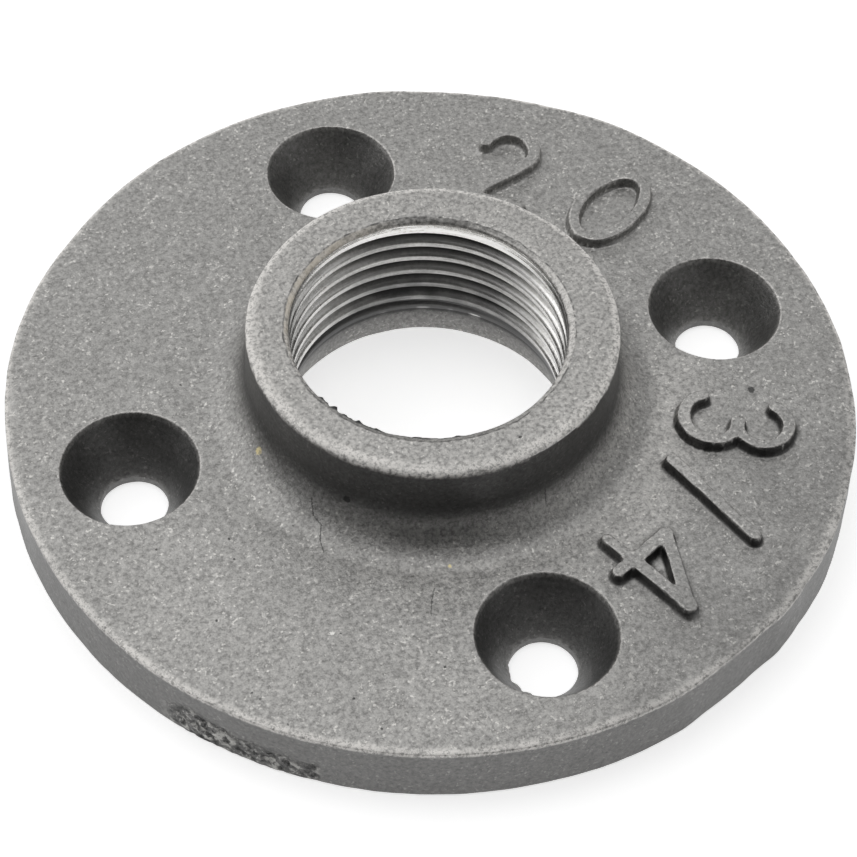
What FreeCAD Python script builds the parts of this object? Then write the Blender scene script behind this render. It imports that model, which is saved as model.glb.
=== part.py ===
"""Threaded floor flange: one iron casting that fixes a pipe end to a floor or wall.

The back face of the plate lies on z = 0 and the hub rises along +Z, on the axis of the bore.
Two of the four screw holes lie on the X axis and two on the Y axis.
All lengths are in millimetres.
"""

import FreeCAD, Part
import math
import os

# Plate
PLATE_DIAMETER = 76.0         # across the back face
PLATE_THICKNESS = 6.2
RIM_DRAFT = 3.0               # degrees that the rim leans in towards the front
FRONT_EDGE_RADIUS = 0.6
BACK_EDGE_RADIUS = 0.4

# Hub
HUB_DIAMETER = 32.4           # across the end face, before its edge is rounded
HUB_PROJECTION = 8.6          # from the front of the plate to the end face
HUB_DRAFT = 2.0               # degrees that the hub leans in towards its end face
HUB_EDGE_RADIUS = 0.8
HUB_ROOT_RADIUS = 4.2         # blend from the hub into the plate

# Bore
BORE_DIAMETER = 24.12         # over the crests of a 3/4 inch pipe thread, 14 threads per inch
MOUTH_DIAMETER = 25.4         # of the chamfer at the hub's end face
MOUTH_CHAMFER_DEPTH = 1.0
CORE_OPENING_DIAMETER = 27.4  # of the cored opening, at the back face
CORE_OPENING_DEPTH = 4.0      # from the back face to the tapped bore

# Screw holes
SCREW_HOLE_COUNT = 4
SCREW_CIRCLE_DIAMETER = 55.6
SCREW_HOLE_DIAMETER = 6.0
COUNTERSINK_DIAMETER = 12.2   # at the front of the plate
SCREW_HOLE_LAND = 0.8         # straight stretch left at the back of each screw hole

CUT_ALLOWANCE = 1.0           # how far a cutter runs past the faces it cuts
FULL_TURN = 360.0
CENTRE = FreeCAD.Vector(0, 0, 0)
UP = FreeCAD.Vector(0, 0, 1)


def section_point(radius, height):
    """A point of a section, in the plane through the axis and +X."""
    return FreeCAD.Vector(radius, 0, height)


def direction(start, end):
    """The unit vector from one point to another."""
    return (end - start).normalize()


def room_on_wall(corner, other_corner):
    """How much of the wall between two corners the first may round, shared by their radii."""
    (point, radius) = corner
    (other_point, other_radius) = other_corner
    return (other_point - point).Length * radius / (radius + other_radius)


def arc_at_corner(before, corner, after):
    """The arc that rounds a corner and runs smoothly into the walls on both sides of it."""
    (point, radius) = corner
    to_before = direction(point, before[0])
    to_after = direction(point, after[0])
    half_angle = to_before.getAngle(to_after) / 2
    room = min(room_on_wall(corner, before), room_on_wall(corner, after))
    setback = min(radius / math.tan(half_angle), room)
    fitted_radius = setback * math.tan(half_angle)
    to_centre = (to_before + to_after).normalize()
    middle = point + to_centre * (fitted_radius / math.sin(half_angle) - fitted_radius)
    return Part.Arc(point + to_before * setback, middle, point + to_after * setback)


def section_face(corners):
    """A flat section inside a closed list of corners, each a point and its radius."""
    edges = []
    wall_ends = []
    for index, corner in enumerate(corners):
        (point, radius) = corner
        if radius > 0:
            arc = arc_at_corner(corners[index - 1], corner, corners[(index + 1) % len(corners)])
            edges.append(arc.toShape())
            wall_ends.append((arc.StartPoint, arc.EndPoint))
        else:
            wall_ends.append((point, point))
    for index, (wall_end, _) in enumerate(wall_ends):
        wall_start = wall_ends[index - 1][1]
        edges.append(Part.makeLine(wall_start, wall_end))
    return Part.Face(Part.Wire(Part.sortEdges(edges)[0]))


def turned(corners):
    """The solid that a section sweeps in one turn about the axis."""
    return section_face(corners).revolve(CENTRE, UP, FULL_TURN)


def casting_blank():
    """Plate and hub in one piece, with the bore, before the screw holes."""
    plate_radius = PLATE_DIAMETER / 2
    hub_radius = HUB_DIAMETER / 2
    overall_height = PLATE_THICKNESS + HUB_PROJECTION
    front_radius = plate_radius - PLATE_THICKNESS * math.tan(math.radians(RIM_DRAFT))
    root_radius = hub_radius + HUB_PROJECTION * math.tan(math.radians(HUB_DRAFT))
    return turned([
        (section_point(CORE_OPENING_DIAMETER / 2, 0), 0),
        (section_point(plate_radius, 0), BACK_EDGE_RADIUS),
        (section_point(front_radius, PLATE_THICKNESS), FRONT_EDGE_RADIUS),
        (section_point(root_radius, PLATE_THICKNESS), HUB_ROOT_RADIUS),
        (section_point(hub_radius, overall_height), HUB_EDGE_RADIUS),
        (section_point(MOUTH_DIAMETER / 2, overall_height), 0),
        (section_point(BORE_DIAMETER / 2, overall_height - MOUTH_CHAMFER_DEPTH), 0),
        (section_point(BORE_DIAMETER / 2, CORE_OPENING_DEPTH), 0),
    ])


def screw_hole_cutter():
    """A straight hole under a deep cone, centred on the axis."""
    hole_radius = SCREW_HOLE_DIAMETER / 2
    sink_radius = COUNTERSINK_DIAMETER / 2
    slope = (sink_radius - hole_radius) / (PLATE_THICKNESS - SCREW_HOLE_LAND)
    cutter_top = PLATE_THICKNESS + CUT_ALLOWANCE
    return turned([
        (section_point(0, -CUT_ALLOWANCE), 0),
        (section_point(hole_radius, -CUT_ALLOWANCE), 0),
        (section_point(hole_radius, SCREW_HOLE_LAND), 0),
        (section_point(sink_radius + CUT_ALLOWANCE * slope, cutter_top), 0),
        (section_point(0, cutter_top), 0),
    ])


def screw_hole_cutters():
    """One cutter at each place on the screw circle, the first on +X."""
    cutters = []
    for index in range(SCREW_HOLE_COUNT):
        cutter = screw_hole_cutter()
        cutter.translate(FreeCAD.Vector(SCREW_CIRCLE_DIAMETER / 2, 0, 0))
        cutter.rotate(CENTRE, UP, index * FULL_TURN / SCREW_HOLE_COUNT)
        cutters.append(cutter)
    return cutters


def floor_flange():
    """The whole casting."""
    return casting_blank().cut(screw_hole_cutters())


def export(name, shape):
    """Write one sub-part as a STEP file."""
    os.makedirs("parts", exist_ok=True)
    shape.exportStep("parts/" + name + ".step")


export("floor_flange", floor_flange())
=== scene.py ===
"""The finished look of a threaded floor flange: one tumbled iron casting with a cut pipe thread.

Sizes are millimetres in the part's own frame. The back face lies on z = 0, the hub rises along +Z,
and the first screw hole is on +X. Meshes are written in metres.
"""

import math

import bmesh
import bpy
import numpy as np
from mathutils import Matrix, Vector, noise
from mathutils.geometry import delaunay_2d_cdt


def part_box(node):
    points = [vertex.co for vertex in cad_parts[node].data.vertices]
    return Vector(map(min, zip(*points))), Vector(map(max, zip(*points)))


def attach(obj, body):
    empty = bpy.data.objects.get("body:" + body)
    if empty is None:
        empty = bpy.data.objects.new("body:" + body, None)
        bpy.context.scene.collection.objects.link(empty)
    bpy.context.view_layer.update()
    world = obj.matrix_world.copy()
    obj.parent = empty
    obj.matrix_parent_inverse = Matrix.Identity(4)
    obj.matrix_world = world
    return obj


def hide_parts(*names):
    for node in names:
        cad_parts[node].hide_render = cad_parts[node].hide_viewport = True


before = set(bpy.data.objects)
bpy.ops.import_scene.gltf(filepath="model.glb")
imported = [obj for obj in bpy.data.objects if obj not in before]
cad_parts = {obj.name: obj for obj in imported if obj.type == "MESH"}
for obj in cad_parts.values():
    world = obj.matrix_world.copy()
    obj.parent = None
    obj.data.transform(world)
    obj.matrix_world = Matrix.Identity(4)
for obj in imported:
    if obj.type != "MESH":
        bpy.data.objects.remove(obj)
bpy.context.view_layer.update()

MM = 0.001
NODE = "floor_flange"
NODE_LOW, NODE_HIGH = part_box(NODE)
FRONT_ANGLE = -111.9            # the side that the photograph shows, in degrees about the axis from +X

# Plate
PLATE_RADIUS = (NODE_HIGH[0] - NODE_LOW[0]) / 2 / MM
OVERALL_HEIGHT = NODE_HIGH[2] / MM
PLATE_THICKNESS = 6.2
RIM_DRAFT = 3.0                 # degrees
RIM_SHOULDER_WIDTH = 0.68       # the tumbled front edge: wide on the face, low on the side
RIM_SHOULDER_DROP = 0.16
BACK_EDGE_RADIUS = 0.4
FACE_OUTER_RADIUS = 36.8        # where the flat front face meets the rim's own mesh
BACK_OUTER_RADIUS = 37.4        # where the flat back face meets it

# Hub
HUB_RADIUS = 16.2
HUB_DRAFT = 2.0                 # degrees
HUB_SHOULDER_WIDTH = 1.25
HUB_SHOULDER_DROP = 0.42
HUB_ROOT_RADIUS = 4.2
FACE_INNER_RADIUS = 21.2        # where the flat front face meets the hub's own mesh

# Bore
CREST_RADIUS = 12.06
BORE_REACH = 14.4               # the thread and its run-out lie within this radius
MOUTH_RADIUS = 12.5
MOUTH_CHAMFER = ((0.22, 0.0), (0.15, 0.015), (0.08, 0.05), (0.0, 0.11), (-0.1, 0.19), (-0.2, 0.265),
                 (-0.27, 0.33), (-0.32, 0.4), (-0.34, 0.48))   # out from that radius, and below the end face
LEAD_IN_FOOT = 13.9             # where the bore starts to open towards its mouth
LEAD_IN_RADIUS = 12.14          # at the top of the thread
CORE_OPENING_RADIUS = 13.7
CORE_OPENING_DEPTH = 4.0
CORE_EDGE_RADIUS = 0.25
CORE_RING_WIDTH = 0.6           # of the back face that belongs to the opening's mesh
TAP_OFFSET = (-0.42, 0.0)       # the tap ran a little off the hub's centre
TAP_OFFSET_FULL = 13.9          # out to this radius everything moves with the tap
TAP_OFFSET_NONE = 15.6          # and from this one on nothing does
CORE_SHIFT = (-0.98, -1.56)     # the core lay off centre in the mould, as seen at the back face
CORE_SHIFT_FULL = 14.5          # as above, for the back face
CORE_SHIFT_NONE = 21.0

# Thread: 3/4 inch pipe thread, 14 threads per inch, right-handed
THREAD_PITCH = 25.4 / 14
THREAD_DEPTH = 1.16
THREAD_START_HEIGHT = 4.07      # of a crest at the angle 0
THREAD_FOOT = 2.9
THREAD_FULL_FROM = 4.6          # its grooves have their whole depth between these heights
THREAD_FULL_TO = 13.5
THREAD_END = 13.85
THREAD_TOP = 14.26              # of the bore's plain end, just under the mouth's chamfer
THREAD_ROWS = (0.0, 0.1, 0.14, 0.25, 0.36, 0.46, 0.54, 0.64, 0.75, 0.86, 0.9)   # shares of a pitch
CREST_SHARE = 0.14              # half a crest's width, as a share of the pitch
ROOT_SHARE = 0.47               # from there outwards a groove is at its deepest

# Screw holes
SCREW_HOLE_COUNT = 4
SCREW_CIRCLE_RADIUS = 27.8
SCREW_HOLE_RADIUS = 3.0
SCREW_HOLE_LAND = 0.8
COUNTERSINK_RADIUS = 6.1
COUNTERSINK_EDGE_RADIUS = 0.22
SINK_MOUTH_RADIUS = 6.45        # where the front face meets a hole's own mesh
BACK_HOLE_RADIUS = 3.5          # where the back face meets it

# The mould's unevenness, each as the size of its features, where its pattern starts and its height
MOULD_RELIEF = ((11.0, 4.2, 0.07), (2.6, 9.1, 0.035), (1.1, 17.3, 0.02))
BORE_RELIEF_SHARE = 0.15        # how much of it is left in the bore

# Burrs, flats and bright places, each as its middle and its half width in degrees, and its size
MOUTH_BURRS = ((-122, 46, 0.2), (-157, 3.4, 0.34), (-151, 2.2, 0.6), (-144.5, 3.0, 0.46),
               (-139, 1.8, 0.55), (-131, 4.0, 0.36), (-115, 3.0, 0.34), (-98, 4.0, 0.32))
MOUTH_WIDE = ((-22, 46, 0.16), (-95, 50, 0.14))    # where the chamfer is wider
# Painted highlights on the mouth's chamfer
CHAMFER_SHINE = ((140, 80, 1.0), (-22, 60, 0.7))   # where it is bright
CHAMFER_TAN = ((134, 55, 1.0),)                    # where it is stained
RUN_OUT_FLAKES = ((91, 3.0, 0.3), (73, 4.5, 0.35), (60.5, 2.4, 0.25), (49, 4.0, 0.7))
HOLE_FLASH = ((168, 16, 0.16), (-160, 14, 0.2), (-138, 12, 0.3))   # about the front right screw hole
RIM_FLASH = ((-36, 24, 0.26), (-57, 5, 0.14), (-4, 16, 0.14), (110, 24, 0.1), (150, 20, 0.22))
RIM_FLATS = ((60, 20, 0.3), (-68, 9, 0.2), (-38, 8, 0.12), (0, 12, 0.06))

# The broken gate on the rim
GATE_SCAR_START = -147.0        # degrees
GATE_SCAR_END = -123.5
GATE_SCAR_TOP = 3.4

# Pits, flecks and cracks. A place with two numbers is on the front side
PIT_SPACING = 4.6               # cell of the pattern that scatters small pits
PIT_SHARE = 0.032               # a pit's radius, as a share of that cell
DARK_PITS = (((-11.89, -11.47, 9.24), 0.36), ((2.54, -14.01), 0.15), ((26.9, -9.9), 0.36),
             ((-21.08, 7.39), 0.13), ((-22.15, -12.18), 0.11), ((-21.94, -10.07), 0.1),
             ((-25.38, -17.53), 0.12), ((-15.93, -31.78), 0.12), ((-17.13, -28.39), 0.12),
             ((-9.11, -28.0), 0.16), ((-24.74, -25.11), 0.11), ((-28.06, -9.02), 0.09),
             ((-16.1, -22.15), 0.1))   # place, and radius
YELLOW_FLECKS = (((-17.0, -3.05, 7.7), 0.38), ((-5.28, -18.92), 0.16))
PALE_FLECKS = (((-16.75, -21.9), 0.19), ((-33.88, 0.25), 0.12))
CRACKS = (((-14.36, -9.45), (-14.6, -10.6), (-14.25, -11.6), (-14.75, -12.8), (-14.8, -13.95)),
          ((4.38, -15.96), (4.27, -16.5)),
          ((-7.3, -20.51), (-7.88, -21.58), (-8.47, -22.95)))   # from one place to the next
CRACK_HALF_WIDTH = 0.045

# Raised marks
MARK_HEIGHT = 1.0               # above the plate
MARK_TOP_HALF_WIDTH = 0.48
MARK_FOOT_HALF_WIDTH = 0.77
MARK_FILLET = 0.16              # how far the metal fills the corners where strokes meet
MARK_CIRCLE_RADIUS = 27.3       # through the middle of each figure
MARK_ROWS = ((0.0, 0.45), (0.26, 0.3), (0.43, 0.19), (0.5, 0.18), (0.58, 0.18), (0.66, 0.18), (0.75, 0.2),
             (0.95, 0.28), (1.35, 0.4))   # the mesh's rows beside a stroke: distance and step
MARK_CLEARANCE = 1.6            # the face's own points start this far from a stroke

# Mesh steps
RIM_STEPS = 640
HUB_STEPS = 320
SINK_STEPS = 96
FACE_SPACING = 0.5
BACK_SPACING = 1.1
FIELD_JITTER = 0.16             # of a face's points, as a share of their spacing
FIELD_SEED = 3
SHOULDER_POINTS = 10
JOIN_DISTANCE = 0.008

# Colours
DARK_GRAIN = (0.22, 0.217, 0.21, 1)
PALE_GRAIN = (0.55, 0.542, 0.527, 1)
DULL_PATCH = (0.2, 0.198, 0.19, 1)
DARK_SPECK = (0.12, 0.119, 0.115, 1)
BRIGHT_FLECK = (0.85, 0.835, 0.8, 1)
# Painted shade on steep walls
STEEP_WALL_SHADE = (0.08, 0.08, 0.08, 1)
# Silver wear, and painted highlights in the same colour
SILVER_WEAR_AND_SHEEN = (0.9, 0.875, 0.84, 1)
TAN_STAIN = (0.95, 0.86, 0.72, 1)
# Painted shade in hollows, on walls that face the front and in the thread, with some dirt; also the large
# pits
SOOT_AND_SHADE = (0.05, 0.05, 0.05, 1)
# Painted shade in the broken gate's crevices
CREVICE_SHADE = (0.04, 0.04, 0.04, 1)
BARE_LUMP = (0.7, 0.69, 0.66, 1)
SMALL_PIT = (0.09, 0.09, 0.088, 1)
CRACK_LINE = (0.06, 0.06, 0.06, 1)
YELLOW_FLECK = (0.78, 0.68, 0.4, 1)
PALE_FLECK = (0.85, 0.84, 0.81, 1)
CUT_DARK = (0.62, 0.61, 0.59, 1)
CUT_BRIGHT = (0.95, 0.94, 0.92, 1)
# Oil in the thread's grooves, and the painted shade there
OIL_AND_SHADE = (0.07, 0.07, 0.072, 1)
TABLE_WHITE = (0.9, 0.9, 0.9, 1)
WHITE = (1, 1, 1, 1)

# Camera, read off the photograph
CAMERA_DISTANCE = 215.4
CAMERA_ANGLE = FRONT_ANGLE
CAMERA_ELEVATION = 52.34        # degrees
CAMERA_ROLL = 2.12              # degrees
CAMERA_LENS = 99.05
CAMERA_SENSOR = 36.0
AIM_TOWARDS_CAMERA = 0.09
AIM_TO_LEFT = 0.08

# Studio, with its sizes in metres
TABLE_HALF = 8.0
TABLE_GAP = 0.00002             # under the back face
TABLE_GLOW = 0.62               # the table's own white, as the camera and reflections see it
SKY_LEVEL = 1.29                # of the surround where it is brightest
DARK_SIDE = 0.18                # share of it that is left above the camera
BACKDROP_LEVEL = 0.5            # of the surround low down behind the casting, to the right
LAMP_SIZE = 0.5
LAMP_DISTANCE = 0.8
LAMP_POWER = 0.58


def smoothstep(values, start, end):
    """0 before start, 1 after end, and a smooth rise between them."""
    share = np.clip((np.asarray(values, float) - start) / (end - start), 0, 1)
    return share * share * (3 - 2 * share)


def plane_direction(degrees):
    """The unit vector at an angle from +X, seen from the front."""
    angle = math.radians(degrees)
    return np.array([math.cos(angle), math.sin(angle)])


def degrees_apart(angles, middle):
    """How far each angle is from a middle one, either way round."""
    return np.abs((angles - middle + 180) % 360 - 180)


# Sections, as (radius, height) points

def rounded_corner(before, corner, after, rounding, arc_step):
    """The points of an arc that touches both runs at a corner."""
    before = before - corner
    after = after - corner
    before = before / np.linalg.norm(before)
    after = after / np.linalg.norm(after)
    half = math.acos(float(before @ after)) / 2
    middle = before + after
    centre = corner + middle / np.linalg.norm(middle) * rounding / math.sin(half)
    first = corner + before * rounding / math.tan(half) - centre
    last = corner + after * rounding / math.tan(half) - centre
    turn = math.atan2(first[0] * last[1] - first[1] * last[0], float(first @ last))
    count = max(2, math.ceil(abs(math.degrees(turn)) / arc_step))
    arc = []
    for step in range(count + 1):
        angle = turn * step / count
        spin = np.array([[math.cos(angle), -math.sin(angle)], [math.sin(angle), math.cos(angle)]])
        arc.append(centre + spin @ first)
    return arc


def rounded_section(corners, spacing, arc_step=15.0):
    """Points along a section with an arc at each corner that has a radius."""
    places = [np.array([radius, height]) for radius, height, _ in corners]
    points = []
    for index, (_, _, rounding) in enumerate(corners):
        stretch = [places[index]]
        if rounding:
            stretch = rounded_corner(places[index - 1], places[index], places[index + 1], rounding, arc_step)
        if points:
            start = points[-1]
            gap = stretch[0] - start
            count = max(1, math.ceil(np.linalg.norm(gap) / spacing))
            points += [start + gap * step / count for step in range(1, count)]
        points += stretch
    return points


def shoulder(radius, height, width, drop):
    """A tumbled edge: a quarter ellipse from a flat top at a height down to a wall at a radius."""
    start = np.array([radius - width, height - drop])
    angles = np.radians(np.linspace(90, 0, SHOULDER_POINTS))
    return [start + (width * math.cos(angle), drop * math.sin(angle)) for angle in angles]


def rim_section():
    """From the front face over the rim to the back face."""
    wall_top = PLATE_THICKNESS - RIM_SHOULDER_DROP
    wall_radius = PLATE_RADIUS - wall_top * math.tan(math.radians(RIM_DRAFT))
    start = [np.array([FACE_OUTER_RADIUS, PLATE_THICKNESS])]
    edge = shoulder(wall_radius, PLATE_THICKNESS, RIM_SHOULDER_WIDTH, RIM_SHOULDER_DROP)
    wall = rounded_section([
        (wall_radius, wall_top, 0),
        (PLATE_RADIUS, 0, BACK_EDGE_RADIUS),
        (BACK_OUTER_RADIUS, 0, 0),
    ], 0.4)
    return start + edge[:-1] + wall


def hub_section():
    """From the front face up the hub, over its end face and down the mouth's small chamfer."""
    slope = math.tan(math.radians(HUB_DRAFT))
    wall_top = OVERALL_HEIGHT - HUB_SHOULDER_DROP
    wall_radius = HUB_RADIUS + HUB_SHOULDER_DROP * slope
    points = rounded_section([
        (FACE_INNER_RADIUS, PLATE_THICKNESS, 0),
        (HUB_RADIUS + (OVERALL_HEIGHT - PLATE_THICKNESS) * slope, PLATE_THICKNESS, HUB_ROOT_RADIUS),
        (wall_radius, wall_top, 0),
    ], 0.38, 5.0)
    edge = shoulder(wall_radius, OVERALL_HEIGHT, HUB_SHOULDER_WIDTH, HUB_SHOULDER_DROP)
    points += edge[-2::-1]
    points += rounded_section([
        (edge[0][0] - 0.4, OVERALL_HEIGHT, 0),
        (MOUTH_RADIUS + MOUTH_CHAMFER[0][0], OVERALL_HEIGHT, 0),
    ], 0.4)
    points += [np.array([MOUTH_RADIUS + out, OVERALL_HEIGHT - down]) for out, down in MOUTH_CHAMFER[1:]]
    points.append(np.array([float(bore_radius(THREAD_TOP)), THREAD_TOP]))
    return points


def core_section():
    """The cored opening, from the foot of the thread to the back face."""
    return rounded_section([
        (float(bore_radius(THREAD_FOOT)), THREAD_FOOT, 0),
        (CORE_OPENING_RADIUS, 0, CORE_EDGE_RADIUS),
        (CORE_OPENING_RADIUS + CORE_RING_WIDTH, 0, 0),
    ], 0.5)


def bore_radius(height):
    """The bore before the thread is cut: lead-in, straight bore and cored opening."""
    height = np.asarray(height, float)
    lead_rise = np.clip((height - LEAD_IN_FOOT) / (THREAD_TOP - LEAD_IN_FOOT), 0, None)
    core_fall = np.clip(1 - height / CORE_OPENING_DEPTH, 0, None)
    return (CREST_RADIUS + lead_rise * (LEAD_IN_RADIUS - CREST_RADIUS)
            + core_fall * (CORE_OPENING_RADIUS - CREST_RADIUS))


def screw_hole_section():
    """From the front face down a screw hole's cone and land, about the hole's own axis."""
    return rounded_section([
        (SINK_MOUTH_RADIUS, PLATE_THICKNESS, 0),
        (COUNTERSINK_RADIUS, PLATE_THICKNESS, COUNTERSINK_EDGE_RADIUS),
        (SCREW_HOLE_RADIUS, SCREW_HOLE_LAND, 0.3),
        (SCREW_HOLE_RADIUS, 0, 0.12),
        (BACK_HOLE_RADIUS - 0.15, 0, 0),
        (BACK_HOLE_RADIUS, 0, 0),
    ], 0.45)


# Node trees

def add_node(tree, kind, **settings):
    """A new node with its settings."""
    made = tree.nodes.new(kind)
    for name, value in settings.items():
        setattr(made, name, value)
    return made


def feed(tree, socket, value):
    """Link another node's output to a socket, or set the socket's own value."""
    if isinstance(value, bpy.types.NodeSocket):
        tree.links.new(value, socket)
    else:
        socket.default_value = value


def maths(tree, operation, *values, clamp=False):
    """A Math node's result."""
    made = add_node(tree, "ShaderNodeMath", operation=operation, use_clamp=clamp)
    for socket, value in zip(made.inputs, values):
        feed(tree, socket, value)
    return made.outputs[0]


def vector_maths(tree, operation, *values, result=0):
    """A Vector Math node's result."""
    made = add_node(tree, "ShaderNodeVectorMath", operation=operation)
    for socket, value in zip(made.inputs, values):
        feed(tree, socket, value)
    return made.outputs[result]


def ramp_between(tree, value, start, end, low=0.0, high=1.0, smooth=True):
    """A Map Range node's result, held at its ends."""
    style = "SMOOTHSTEP" if smooth else "LINEAR"
    made = add_node(tree, "ShaderNodeMapRange", interpolation_type=style, clamp=True)
    for socket, number in zip(made.inputs, (value, start, end, low, high)):
        feed(tree, socket, number)
    return made.outputs[0]


def new_geometry_tree(name, inputs):
    """An empty Geometry Nodes tree with named inputs. Returns the tree and its input node's outputs."""
    tree = bpy.data.node_groups.new(name, "GeometryNodeTree")
    for label, kind in inputs:
        tree.interface.new_socket(label, in_out="INPUT", socket_type=kind)
    tree.interface.new_socket("Geometry", in_out="OUTPUT", socket_type="NodeSocketGeometry")
    entry = add_node(tree, "NodeGroupInput")
    return tree, entry.outputs


def finish_geometry_tree(tree, geometry, material):
    """End a tree in Realize Instances and Set Material."""
    realize = add_node(tree, "GeometryNodeRealizeInstances")
    feed(tree, realize.inputs[0], geometry)
    paint = add_node(tree, "GeometryNodeSetMaterial")
    feed(tree, paint.inputs["Geometry"], realize.outputs[0])
    feed(tree, paint.inputs["Material"], material)
    leave = add_node(tree, "NodeGroupOutput")
    feed(tree, leave.inputs[0], paint.outputs[0])


def grid_shares(tree, columns, rows):
    """A flat grid, and how far each of its points is along the columns and the rows, from 0 to 1."""
    grid = add_node(tree, "GeometryNodeMeshGrid")
    feed(tree, grid.inputs["Size X"], 1.0)
    feed(tree, grid.inputs["Size Y"], 1.0)
    feed(tree, grid.inputs["Vertices X"], columns)
    feed(tree, grid.inputs["Vertices Y"], rows)
    place = add_node(tree, "GeometryNodeInputPosition")
    split = add_node(tree, "ShaderNodeSeparateXYZ")
    feed(tree, split.inputs[0], place.outputs[0])
    along = maths(tree, "ADD", split.outputs[0], 0.5)
    across = maths(tree, "ADD", split.outputs[1], 0.5)
    return grid.outputs["Mesh"], along, across


def section_grid(tree, section, steps):
    """A grid with a row for each point of a section.

    Returns the grid, each of its points' share of a turn, and the section's radius and height there.
    """
    size = add_node(tree, "GeometryNodeAttributeDomainSize", component="MESH")
    feed(tree, size.inputs[0], section)
    rows = size.outputs["Point Count"]
    flat, along, across = grid_shares(tree, maths(tree, "ADD", steps, 1), rows)
    row = maths(tree, "ROUND", maths(tree, "MULTIPLY", across, maths(tree, "SUBTRACT", rows, 1)))
    place = add_node(tree, "GeometryNodeInputPosition")
    pick = add_node(tree, "GeometryNodeSampleIndex", data_type="FLOAT_VECTOR", domain="POINT")
    feed(tree, pick.inputs["Geometry"], section)
    feed(tree, pick.inputs["Value"], place.outputs[0])
    feed(tree, pick.inputs["Index"], row)
    point = add_node(tree, "ShaderNodeSeparateXYZ")
    feed(tree, point.inputs[0], pick.outputs[0])
    return flat, along, point.outputs[0], point.outputs[2]


def place_round_axis(tree, geometry, along, radius, height):
    """Move each point to its share of a turn about the Z axis, a radius and a height, and close the seam."""
    angle = maths(tree, "MULTIPLY", along, math.tau)
    spot = add_node(tree, "ShaderNodeCombineXYZ")
    feed(tree, spot.inputs[0], maths(tree, "MULTIPLY", radius, maths(tree, "COSINE", angle)))
    feed(tree, spot.inputs[1], maths(tree, "MULTIPLY", radius, maths(tree, "SINE", angle)))
    feed(tree, spot.inputs[2], height)
    move = add_node(tree, "GeometryNodeSetPosition")
    feed(tree, move.inputs["Geometry"], geometry)
    feed(tree, move.inputs["Position"], spot.outputs[0])
    merge = add_node(tree, "GeometryNodeMergeByDistance")
    feed(tree, merge.inputs["Geometry"], move.outputs[0])
    feed(tree, merge.inputs["Distance"], JOIN_DISTANCE * MM)
    return merge.outputs[0]


def turned_wall(tree, section, steps):
    """The surface that a section's points sweep in one turn about the Z axis."""
    flat, along, radius, height = section_grid(tree, section, steps)
    return place_round_axis(tree, flat, along, radius, height)


def turned_wall_tree():
    """One turned wall."""
    tree, given = new_geometry_tree("turned_wall", [
        ("Section", "NodeSocketGeometry"),
        ("Steps", "NodeSocketInt"),
        ("Finish", "NodeSocketMaterial"),
    ])
    finish_geometry_tree(tree, turned_wall(tree, given["Section"], given["Steps"]), given["Finish"])
    return tree


def screw_hole_tree():
    """One screw hole's wall, repeated on the screw circle."""
    tree, given = new_geometry_tree("screw_holes", [
        ("Section", "NodeSocketGeometry"),
        ("Steps", "NodeSocketInt"),
        ("Finish", "NodeSocketMaterial"),
        ("Holes", "NodeSocketInt"),
        ("Circle Radius", "NodeSocketFloat"),
    ])
    wall = turned_wall(tree, given["Section"], given["Steps"])
    circle = add_node(tree, "GeometryNodeMeshCircle")
    feed(tree, circle.inputs["Vertices"], given["Holes"])
    feed(tree, circle.inputs["Radius"], given["Circle Radius"])
    index = add_node(tree, "GeometryNodeInputIndex")
    turn = maths(tree, "DIVIDE", maths(tree, "MULTIPLY", index.outputs[0], math.tau), given["Holes"])
    spin = add_node(tree, "ShaderNodeCombineXYZ")
    feed(tree, spin.inputs[2], turn)
    repeat = add_node(tree, "GeometryNodeInstanceOnPoints")
    feed(tree, repeat.inputs["Points"], circle.outputs[0])
    feed(tree, repeat.inputs["Instance"], wall)
    feed(tree, repeat.inputs["Rotation"], spin.outputs[0])
    finish_geometry_tree(tree, repeat.outputs[0], given["Finish"])
    return tree


def cut_thread_tree():
    """The threaded bore: rows of points that climb round the bore at the thread's own pitch."""
    tree, given = new_geometry_tree("cut_thread", [
        ("Rows", "NodeSocketGeometry"),
        ("Steps", "NodeSocketInt"),
        ("Finish", "NodeSocketMaterial"),
        ("Pitch", "NodeSocketFloat"),
        ("Start Height", "NodeSocketFloat"),
        ("Foot", "NodeSocketFloat"),
        ("Top", "NodeSocketFloat"),
        ("Depth", "NodeSocketFloat"),
    ])
    flat, along, _, row_height = section_grid(tree, given["Rows"], given["Steps"])
    climb = maths(tree, "MULTIPLY", along, given["Pitch"])
    height = maths(tree, "ADD", row_height, climb)
    height = maths(tree, "MINIMUM", maths(tree, "MAXIMUM", height, given["Foot"]), given["Top"])
    # How far a point is from the middle of the nearest crest, in pitches
    turns = maths(tree, "DIVIDE", maths(tree, "SUBTRACT", height, given["Start Height"]), given["Pitch"])
    off_crest = maths(tree, "PINGPONG", maths(tree, "SUBTRACT", turns, along), 0.5)
    cut = ramp_between(tree, off_crest, CREST_SHARE, ROOT_SHARE)
    fade_in = ramp_between(tree, height, THREAD_FOOT * MM, THREAD_FULL_FROM * MM)
    fade_out = ramp_between(tree, height, THREAD_END * MM, THREAD_FULL_TO * MM)
    depth = maths(tree, "MULTIPLY", maths(tree, "MULTIPLY", fade_in, fade_out), given["Depth"])
    groove = maths(tree, "ADD", maths(tree, "MULTIPLY", cut, depth), CREST_RADIUS * MM)
    lead_in = ramp_between(tree, height, LEAD_IN_FOOT * MM, THREAD_TOP * MM,
                           CREST_RADIUS * MM, LEAD_IN_RADIUS * MM, smooth=False)
    core = ramp_between(tree, height, 0.0, CORE_OPENING_DEPTH * MM,
                        CORE_OPENING_RADIUS * MM, CREST_RADIUS * MM, smooth=False)
    radius = maths(tree, "MAXIMUM", groove, maths(tree, "MAXIMUM", lead_in, core))
    bore = place_round_axis(tree, flat, along, radius, height)
    finish_geometry_tree(tree, bore, given["Finish"])
    return tree


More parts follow.
